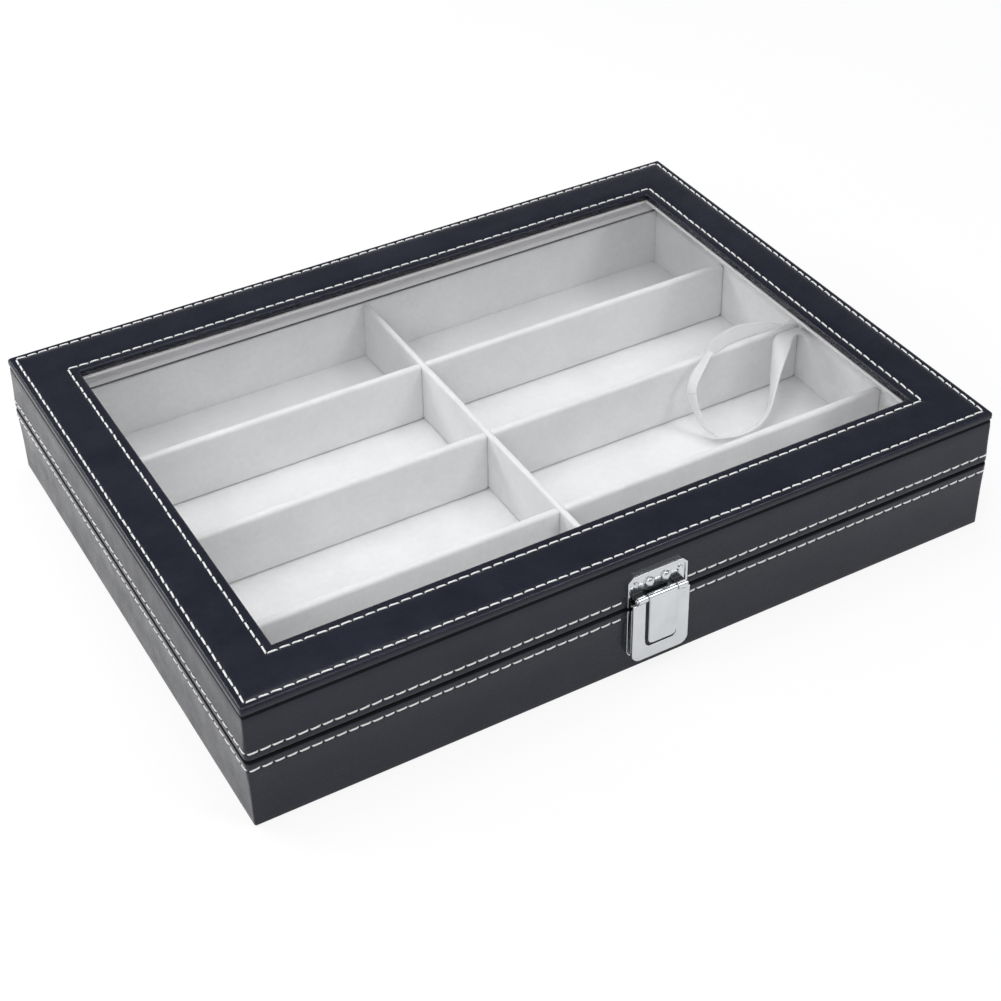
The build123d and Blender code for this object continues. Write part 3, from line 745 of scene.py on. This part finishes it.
def soft_slab(low, high, edge, puff, cell):
    """A cloth-covered slab: rounded edges, and faces that swell a little between them."""
    low, high = np.array(low, float), np.array(high, float)
    half, centre = (high - low) / 2, (high + low) / 2
    edge = min(edge, *(half * 0.98))
    lines = []
    for h in half:
        cells = max(1, ceil(2 * (h - edge) / cell))
        straight = list(np.linspace(-(h - edge), h - edge, cells + 1))
        ends = [h - edge + edge * sin(radians(a)) for a in (30, 60, 90)]
        lines.append([-e for e in reversed(ends)] + straight + ends)
    sizes = [len(line) for line in lines]
    index, points, faces = {}, [], []

    def point(key):
        if key not in index:
            index[key] = len(points)
            p = np.array([lines[a][key[a]] for a in range(3)])
            core = np.clip(p, -(half - edge), half - edge)
            away = p - core
            length = np.linalg.norm(away)
            on_flat = [a for a in range(3) if abs(abs(p[a]) - half[a]) < 1e-9]
            if length > 1e-9:
                p = core + away / length * edge
            if len(on_flat) == 1:
                a = on_flat[0]
                others = [b for b in range(3) if b != a]
                swell = np.prod([1 - (p[b] / half[b]) ** SWELL_POWER for b in others])
                p[a] += np.sign(p[a]) * puff * swell
            points.append(p + centre)
        return index[key]

    for a in range(3):
        b, c = (a + 1) % 3, (a + 2) % 3
        for end in (0, sizes[a] - 1):
            for i in range(sizes[b] - 1):
                for j in range(sizes[c] - 1):
                    corners = []
                    for bi, cj in ((i, j), (i + 1, j), (i + 1, j + 1), (i, j + 1)):
                        key = [0, 0, 0]
                        key[a], key[b], key[c] = end, bi, cj
                        corners.append(point(tuple(key)))
                    faces.append(tuple(corners))
    return np.array(points), faces


def slabs_piece(name, slabs, material, body, nodes):
    """One piece from several soft slabs."""
    points, faces = [], []
    for slab_points, slab_faces in slabs:
        add_part(points, faces, slab_points, slab_faces)
    piece = mesh_piece(name, points, faces, material)
    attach(piece, body)
    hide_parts(*nodes)
    return piece


def floor_pads():
    """A thin velvet pad in each of the eight rooms, tucked under the feet of its walls."""
    tuck = 1.1
    rows = [-room_y] + sorted(y for box in row_boxes for y in (box[0].y, box[1].y)) + [room_y]
    slabs = []
    for left, right in ((-room_x, centre_low.x), (centre_high.x, room_x)):
        for front, back in zip(rows[::2], rows[1::2]):
            low = (left - tuck, front - tuck, pad_low.z)
            high = (right + tuck, back + tuck, pad_high.z)
            slabs.append(soft_slab(low, high, edge=0.30, puff=0.25, cell=7.0))
    pads = slabs_piece("floor_pads", slabs, VELVET_FLOOR, "base",
                       ["base_floor_pad"])


def lining_piece(node, material, body):
    """A lining in velvet; the two at the sides stop just short of their neighbours."""
    clear = 0.1
    low, high = in_mm(node)
    thin = min(range(3), key=lambda a: high[a] - low[a])
    if thin == 0:
        low.y, high.y = low.y + clear, high.y - clear
    slab = soft_slab(low, high, edge=0.36, puff=0.0, cell=9.0)
    slabs_piece(f"{node}_cloth", [slab], material, body, [node])


def linings():
    for side in ("front", "back", "left", "right"):
        lining_piece(f"base_{side}_lining", VELVET_WALL, "base")
        lining_piece(f"lid_{side}_lining", VELVET_LID, "lid")


def divider_cloth():
    """Velvet drawn over the dividers, with rounded tops."""
    lap, lower, cell = 0.3, 0.05, 6.0
    slab = soft_slab(centre_low, centre_high, edge=1.35, puff=0.0, cell=cell)
    slabs_piece("centre_divider_cloth", [slab], VELVET_DIVIDER, "base",
                ["centre_divider"])
    for name, (low, high) in zip(ROW_NAMES, row_boxes):
        slabs = []
        for start, end in ((low.x, centre_low.x + lap), (centre_high.x - lap, high.x)):
            slabs.append(soft_slab((start, low.y, low.z), (end, high.y, high.z - lower),
                                   edge=1.7, puff=0.0, cell=cell))
        slabs_piece(f"row_divider_{name}_cloth", slabs, VELVET_DIVIDER, "base",
                    [f"row_divider_{name}"])


# Ribbon

RIBBON_THICK = 0.35
RIBBON_THIN_EDGE = 0.35
RIBBON_CUP = 0.35
RIBBON_ACROSS = 6
RIBBON_STEPS = 8
# Both edges of the ribbon, from the base's wall round the loop to the lid's (millimetres)
RIBBON_EDGES = (
    ((162.6, -2.6, 31.5), (162.6, -11.6, 31.5)),
    ((147.8, -4.2, 32.5), (154.0, -10.7, 34.5)),
    ((143.5, -7.5, 26.6), (146.8, -15.3, 30.4)),
    ((140.3, -11.3, 18.6), (140.4, -19.1, 23.4)),
    ((136.0, -17.3, 12.8), (133.8, -24.5, 18.2)),
    ((130.3, -22.6, 8.3), (127.3, -29.5, 13.7)),
    ((122.3, -26.0, 5.7), (119.2, -32.8, 11.1)),
    ((112.9, -26.3, 4.2), (109.8, -33.1, 9.6)),
    ((105.7, -24.2, 4.1), (102.7, -31.0, 9.5)),
    ((101.5, -21.7, 5.5), (98.8, -28.7, 10.9)),
    ((98.8, -15.4, 9.9), (97.0, -22.7, 15.1)),
    ((97.9, -9.5, 15.9), (96.7, -17.1, 21.1)),
    ((97.3, -6.9, 23.5), (97.3, -14.7, 28.5)),
    ((101.0, -5.9, 30.6), (101.2, -13.7, 35.4)),
    ((108.3, -3.9, 35.9), (107.1, -11.4, 41.1)),
    ((108.5, -7.5, 45.0), (113.0, -6.5, 36.8)),
    ((122.0, -6.5, 48.0), (124.5, -5.5, 38.6)),
    ((138.0, -6.5, 44.6), (141.5, -3.5, 36.2)),
    ((150.0, -7.0, 39.5), (152.0, -1.0, 34.8)),
    ((162.6, -9.0, 36.2), (162.6, 0.5, 36.2)),
)


def smooth_line(points):
    """A smooth line through points, RIBBON_STEPS steps between neighbours."""
    points = np.array(points, float)
    padded = np.vstack([2 * points[0] - points[1], points, 2 * points[-1] - points[-2]])
    line = []
    for i in range(len(points) - 1):
        p0, p1, p2, p3 = padded[i:i + 4]
        bend, twist = 2 * p0 - 5 * p1 + 4 * p2 - p3, 3 * p1 - p0 - 3 * p2 + p3
        for t in np.linspace(0, 1, RIBBON_STEPS, endpoint=False):
            line.append(0.5 * (2 * p1 + (p2 - p0) * t + bend * t**2 + twist * t**3))
    line.append(points[-1])
    return np.array(line)


def strap(name, left, right):
    """A thin, slightly cupped strap between two edge lines, and its length."""
    middle = (left + right) / 2
    face = np.cross(np.gradient(middle, axis=0), right - left)
    face /= np.linalg.norm(face, axis=1, keepdims=True)
    length = np.concatenate([[0], np.cumsum(np.linalg.norm(np.diff(middle, axis=0), axis=1))])
    there = list(range(RIBBON_ACROSS + 1))
    points, uv = [], []
    for i in range(len(left)):
        for sign, order in ((1, there), (-1, there[::-1])):
            for k in order:
                u = k / RIBBON_ACROSS
                thick = RIBBON_THICK / 2 * (RIBBON_THIN_EDGE if k in (0, RIBBON_ACROSS) else 1.0)
                cup = RIBBON_CUP * (1 - (2 * u - 1) ** 2)
                points.append(left[i] + (right[i] - left[i]) * u + face[i] * (sign * thick + cup))
                uv.append((length[i] / 100, u / 10))
    faces = tube_faces(len(left), 2 * len(there))
    return mesh_piece(name, points, faces, SATIN, uv), float(length[-1])


def ribbon():
    """The lid's stay: two straps that part where the loop turns, half way from base to lid."""
    left, right = (smooth_line([edges[side] for edges in RIBBON_EDGES]) for side in (0, 1))
    middle = (left + right) / 2
    turn = int(np.argmin(middle[:, 0]))
    wall = middle[0]
    far = wall[0] - 2 * (wall[0] - float(middle[turn, 0]))
    spans = {
        "ribbon_from_base": (slice(0, turn + 1), wall[0], far),
        "ribbon_to_lid": (slice(turn, len(middle)), far, wall[0]),
    }
    for name, (span, start_x, end_x) in spans.items():
        piece, length = strap(name, left[span], right[span])
        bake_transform(piece)
        if name == "ribbon_from_base":
            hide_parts("lid_stay_ribbon")


# Rigid pieces from the frame

PLATE_BEVEL = 0.24
# The webs of the lugs, where shade is painted: their reach outwards, and their height over the pin
WEB_BACK, WEB_FACE, WEB_TOP = 1.35, 3.3, 1.35


def dressed(node, material, body):
    """A node's own shape with softened edges."""
    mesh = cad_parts[node].data.copy()
    mesh.name = f"{node}_finished"
    work = bmesh.new()
    work.from_mesh(mesh)
    bmesh.ops.remove_doubles(work, verts=work.verts, dist=2e-6)
    bmesh.ops.dissolve_limit(work, angle_limit=radians(0.5), verts=work.verts, edges=work.edges)
    work.to_mesh(mesh)
    work.free()
    if "custom_normal" in mesh.attributes:
        mesh.attributes.remove(mesh.attributes["custom_normal"])
    mesh.polygons.foreach_set("use_smooth", [True] * len(mesh.polygons))
    mesh.materials.clear()
    mesh.materials.append(material)
    piece = bpy.data.objects.new(f"{node}_finished", mesh)
    bpy.context.scene.collection.objects.link(piece)
    soften = piece.modifiers.new("soften", "BEVEL")
    soften.width = PLATE_BEVEL * MM
    soften.segments = 2
    soften.limit_method = "ANGLE"
    soften.angle_limit = radians(38)
    soften.harden_normals = True
    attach(piece, body)
    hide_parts(node)
    return piece


def carried(node, material):
    """A node that stays as it is, with its finish."""
    node_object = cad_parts[node]
    node_object.data.materials.clear()
    node_object.data.materials.append(material)


# Clasp: front-view places are from its middle; "out" is the distance from the box's front face

CLASP_X = sum(c.x for c in in_mm("clasp_flap")) / 2
PIN_Z = sum(c.z for c in in_mm("clasp_pin")) / 2
PIN_OUT = -side_y - sum(c.y for c in in_mm("clasp_pin")) / 2
ROLL_RADIUS = in_mm("clasp_flap")[1].z - PIN_Z
FLAP_HALF = in_mm("clasp_flap")[1].x - CLASP_X
FLAP_LOW = in_mm("clasp_flap")[0].z
FLAP_SHEET = 0.75
FLAP_CORNER, FLAP_EDGE, FLAP_RIM = 4.0, 0.6, 0.15
SHOULDER_Z, STEP_TOP_Z = 36.2, 37.4
HOLLOW_TOP = 35.8
STEP_HALF, STRIP_HALF = 8.2, 6.4
STRIP_LOW, STRIP_CORNER, STRIP_RIM = 15.2, 1.6, 0.5
STRIP_RISE, STRIP_SLOPE = 1.2, 0.45
GROOVE_SIDE, GROOVE_LOW, GROOVE_DEPTH, GROOVE_STEEP = 0.75, 1.9, 0.35, 5
STRIP_OUT = PIN_OUT + ROLL_RADIUS
BORDER_OUT = STRIP_OUT - STRIP_RISE
SKIRT_OUT, SKIRT_WIDTH = BORDER_OUT - FLAP_SHEET - 0.9, 0.3
ROLL_TURN, ROLL_STEPS = radians(248), 24


def inside_rounded(x, z, half, low, corner):
    """How far a place is inside a tongue that is open at its top; negative outside it."""
    qx, qz = abs(x) - (half - corner), low + corner - z
    return corner - sqrt(max(qx, 0.0) ** 2 + max(qz, 0.0) ** 2) - min(max(qx, qz), 0.0)


def inside_flap(x, z):
    return inside_rounded(x, z, FLAP_HALF, FLAP_LOW, FLAP_CORNER)


def inside_strip(x, z):
    return inside_rounded(x, z, STRIP_HALF, STRIP_LOW, STRIP_CORNER)


def quarter_round(radius, away):
    """Height of a quarter circle of that radius, away from its middle."""
    return sqrt(max(0.0, radius**2 - away**2))


def eased(value):
    value = min(1.0, max(0.0, value))
    return value * value * (3 - 2 * value)


def step_half(z):
    """Half width of the S-shaped shoulder between the border and the roll."""
    up = eased((z - SHOULDER_Z) / (STEP_TOP_Z - SHOULDER_Z))
    return STRIP_HALF + (STEP_HALF - STRIP_HALF) * (1 - up)


def groove_reach(x, z):
    """Width of the groove round the strip, wider below it than beside it."""
    across = max(abs(x) - (STRIP_HALF - STRIP_CORNER), 0.0)
    down = max(STRIP_LOW + STRIP_CORNER - z, 0.0)
    share = down / (across + down) if down else 0.0
    return GROOVE_SIDE + (GROOVE_LOW - GROOVE_SIDE) * eased(share)


def flap_height(x, z):
    """Distance of the flap's face from the box."""
    edge = inside_flap(x, z)
    if abs(x) > STEP_HALF:
        edge = min(edge, SHOULDER_Z - z)
    elif abs(x) > STRIP_HALF and z > SHOULDER_Z:
        edge = min(edge, step_half(z) - abs(x))
    out = BORDER_OUT
    if edge < FLAP_EDGE:
        out -= FLAP_EDGE - quarter_round(FLAP_EDGE, FLAP_EDGE - max(edge, 0.0))
    strip = inside_strip(x, z)
    if strip > 0:
        out += STRIP_RISE * eased(strip / STRIP_SLOPE)
    else:
        away = -strip / groove_reach(x, z)
        if away < 1:
            out -= GROOVE_DEPTH * eased(min(away, 1 - away) * GROOVE_STEEP)
    return out


def flap_back(x, z, out):
    """The flap's back: a skirt round its edge, a hollow behind the strip, and the pin's bore."""
    if inside_flap(x, z) < SKIRT_WIDTH:
        return SKIRT_OUT
    back = min(out, BORDER_OUT) - FLAP_SHEET
    if inside_strip(x, z) > FLAP_SHEET - 0.06 and z < HOLLOW_TOP:
        back = STRIP_OUT - FLAP_SHEET
    bore = ROLL_RADIUS - FLAP_SHEET
    if abs(x) <= STRIP_HALF + TOUCH and PIN_Z - z < bore:
        back = max(back, PIN_OUT + quarter_round(bore, PIN_Z - z))
    return back


def ticks(*stops):
    """Grid lines: pairs of a place and the number of steps up to it."""
    line = [stops[0][0]]
    for place, steps in stops[1:]:
        line.extend(np.linspace(line[-1], place, steps + 1)[1:])
    return line


def clasp_flap():
    """The pressed flap: a bordered tongue, a strip raised in a groove, a rolled top."""
    half = ticks((0, 0), (5.7, 7), (STRIP_HALF, 7), (STRIP_HALF + GROOVE_SIDE, 5), (STEP_HALF, 2),
                 (FLAP_HALF - FLAP_EDGE, 5), (FLAP_HALF - FLAP_RIM, 3), (FLAP_HALF, 2))
    xs = [-x for x in reversed(half[1:])] + half
    flap_corner_z, strip_corner_z = FLAP_LOW + FLAP_CORNER, STRIP_LOW + STRIP_CORNER
    zs = ticks((FLAP_LOW, 0), (FLAP_LOW + FLAP_RIM, 2), (FLAP_LOW + FLAP_EDGE, 3),
               (flap_corner_z, 9), (STRIP_LOW - GROOVE_LOW, 3), (STRIP_LOW, 8),
               (STRIP_LOW + STRIP_RIM, 5), (strip_corner_z, 5), (SHOULDER_Z - FLAP_EDGE, 16),
               (SHOULDER_Z - FLAP_RIM, 3), (SHOULDER_Z, 2), (STEP_TOP_Z, 8), (PIN_Z, 2))
    rolls = list(np.linspace(0, ROLL_TURN, ROLL_STEPS + 1))[1:]
    columns, rows = len(xs), len(zs) + len(rolls)
    front, back = np.zeros((rows, columns, 3)), np.zeros((rows, columns, 3))
    for j in range(rows):
        for i, x in enumerate(xs):
            if j < len(zs):
                z = zs[j]
                if z < flap_corner_z:
                    reach = FLAP_HALF - FLAP_CORNER + quarter_round(FLAP_CORNER, flap_corner_z - z)
                    x *= reach / FLAP_HALF
                if z > SHOULDER_Z and STRIP_HALF < abs(x) <= STEP_HALF + TOUCH:
                    wide = (abs(x) - STRIP_HALF) * (step_half(z) - STRIP_HALF)
                    wide /= STEP_HALF - STRIP_HALF
                    x = (1 if x > 0 else -1) * (STRIP_HALF + wide)
                out = flap_height(x, z)
                before, behind = (out, z), (flap_back(x, z, out), z)
            else:
                turn = rolls[j - len(zs)]
                outer = ROLL_RADIUS - (0.12 if abs(x) > STRIP_HALF - 0.1 else 0.0)
                before, behind = ((PIN_OUT + radius * cos(turn), PIN_Z + radius * sin(turn))
                                  for radius in (outer, ROLL_RADIUS - FLAP_SHEET))
            front[j, i] = (CLASP_X + x, -side_y - before[0], before[1])
            back[j, i] = (CLASP_X + x, -side_y - behind[0], behind[1])
    # The sheet's front and back, without what lies beside the shoulder and the roll, then its rim
    faces, edges = [], {}
    count = rows * columns
    for j in range(rows - 1):
        for i in range(columns - 1):
            middle = abs(xs[i] + xs[i + 1]) / 2
            if j >= len(zs) - 3 and middle > STRIP_HALF:
                continue
            if j < len(zs) - 1 and zs[j] > SHOULDER_Z - TOUCH and middle > STEP_HALF:
                continue
            low, high = j * columns + i, (j + 1) * columns + i
            quad = (low, low + 1, high + 1, high)
            faces.append(quad)
            faces.append(tuple(count + v for v in reversed(quad)))
            for a, b in zip(quad, quad[1:] + quad[:1]):
                edges[(a, b)] = True
    for a, b in edges:
        if (b, a) not in edges:
            faces.append((b, a, count + a, count + b))
    points = np.concatenate([front.reshape(-1, 3), back.reshape(-1, 3)])
    piece = mesh_piece("clasp_flap_pressed", points, faces, NICKEL)

    def gets_painted_shade(centre):
        """Whether a face is painted in shade: the groove, and on the shaded left also low on the
        strip's wall.
        """
        x, z, out = centre.x - CLASP_X, centre.z, -side_y - centre.y
        if z > STEP_TOP_Z - FLAP_EDGE or (x > STRIP_HALF - STRIP_RIM and z > STRIP_LOW + STRIP_RIM):
            return False
        # On the left, the side in shade, the painted shade reaches low onto the strip's wall
        wall = 0.22 if x < 0 else 0.0
        in_groove = -groove_reach(x, z) < inside_strip(x, z) < wall
        return in_groove and BORDER_OUT - 0.5 < out < STRIP_OUT - 0.25

    # Paints shade in the groove round the strip
    paint_shade_where(piece, PAINTED_SHADE_NICKEL, gets_painted_shade)
    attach(piece, "clasp_flap")
    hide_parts("clasp_flap")


def metal_parts():
    """The clasp's two plates with softened edges; the other metal as it is."""
    upper = dressed("clasp_upper_plate", NICKEL, "lid")
    # Paints shade on the upper plate's lug webs
    paint_shade_where(upper, PAINTED_SHADE_NICKEL,
            lambda c: WEB_BACK < -side_y - c.y < WEB_FACE and c.z < PIN_Z + WEB_TOP)
    dressed("clasp_catch_plate", NICKEL, "base")
    redone = ("clasp_upper_plate", "clasp_catch_plate", "clasp_flap", "clasp_flap_clip")
    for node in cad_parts:
        if node.startswith(("clasp_", "hinge_")) and node not in redone:
            carried(node, NICKEL)
    carried("clasp_flap_clip", SPRING_STEEL)


def other_parts():
    """The boards and rails, the bottom, the window's inner frame and its pane."""
    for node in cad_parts:
        if "_board" in node or node.endswith("_rail"):
            carried(node, FIBREBOARD)
    carried("base_bottom_cover", BOTTOM_CLOTH)
    carried("lid_window_lining", VELVET_LID)
    carried("lid_glass", GLASS)


# Studio

STUDIO_HALF = 6.0
FLOOR_SEEN, FLOOR_MIRRORED = 0.84, 0.50
DAYLIGHT = 0.41


def seen_directly(nodes, rays):
    """1 for rays from the camera, also through the glass."""
    return nodes.math("MAXIMUM", rays["Is Camera Ray"], rays["Is Transmission Ray"])


def studio_floor():
    """Pale paper that shows nearly white, and half as bright in reflections."""
    m = Material("floor_paper")
    m.surface(colour=m.colours(m.noise(3, 3), (0.3, (0.86, 0.86, 0.86)), (0.7, (0.9, 0.9, 0.9))),
              rough=0.9, specular=0.1)
    white = m.new("Emission", Color=(1, 1, 1), Strength=1.0).outputs["Emission"]
    rays = m.new("LightPath").outputs
    direct = m.math("MULTIPLY", seen_directly(m, rays), FLOOR_SEEN)
    mirrored = m.math("MULTIPLY", rays["Is Glossy Ray"], FLOOR_MIRRORED)
    m.shown(m.mix(m.math("ADD", direct, mirrored), m.plain, white))
    half = STUDIO_HALF / MM
    corners = [(-half, -half, 0), (half, -half, 0), (half, half, 0), (-half, half, 0)]
    floor = mesh_piece("studio_floor", corners, [(0, 1, 2, 3)], m.material)


def backdrop():
    """White to the camera, soft daylight on the box, and darker above in reflections."""
    world = bpy.data.worlds.new("studio")
    bpy.context.scene.world = world
    world.use_nodes = True
    world.node_tree.nodes.clear()
    w = Nodes(world.node_tree)
    rays = w.new("LightPath").outputs
    height = w.new("SeparateXYZ", Vector=w.new("TexCoord").outputs["Generated"]).outputs["Z"]
    sky = w.colours(height, (0.12, (1, 1, 1)), (0.42, (0.19, 0.20, 0.22)))
    white, soft, glossy = (
        w.new("Background", **inputs).outputs["Background"] for inputs in (
            {"Color": (1, 1, 1), "Strength": 1.0},
            {"Color": (0.95, 0.97, 1.0), "Strength": DAYLIGHT},
            {"Color": sky}))
    lit = w.mix(rays["Is Glossy Ray"], soft, glossy)
    w.new("OutputWorld", Surface=w.mix(seen_directly(w, rays), lit, white))


def lamp(name, place, target, width, height, power):
    light = bpy.data.lights.new(name, "AREA")
    light.shape = "RECTANGLE"
    light.size, light.size_y = width, height
    light.energy = power
    lit = bpy.data.objects.new(name, light)
    bpy.context.scene.collection.objects.link(lit)
    lit.location = place
    lit.rotation_euler = (Vector(target) - Vector(place)).to_track_quat("-Z", "Y").to_euler()


def studio():
    bpy.context.scene.view_settings.view_transform = "Standard"
    studio_floor()
    backdrop()
    lamp("overhead", (-0.15, 0.05, 1.3), (0, 0, 0), 1.1, 0.9, 9.3)
    lamp("front_left", (-0.9, -0.7, 0.9), (0, 0, 0.02), 0.7, 0.7, 4)
    lamp("floor_left", (-0.75, 0.75, 0.6), (-0.75, 0.75, 0), 0.6, 0.6, 9)
    lamp("edge_light", (0.55, -0.8, 1.0), (0.05, -0.12, 0.05), 0.45, 0.25, 4)


base_leather()
lid_side_cover()
lid_top_cover()
all_stitches()
floor_pads()
linings()
divider_cloth()
ribbon()
clasp_flap()
metal_parts()
other_parts()
studio()
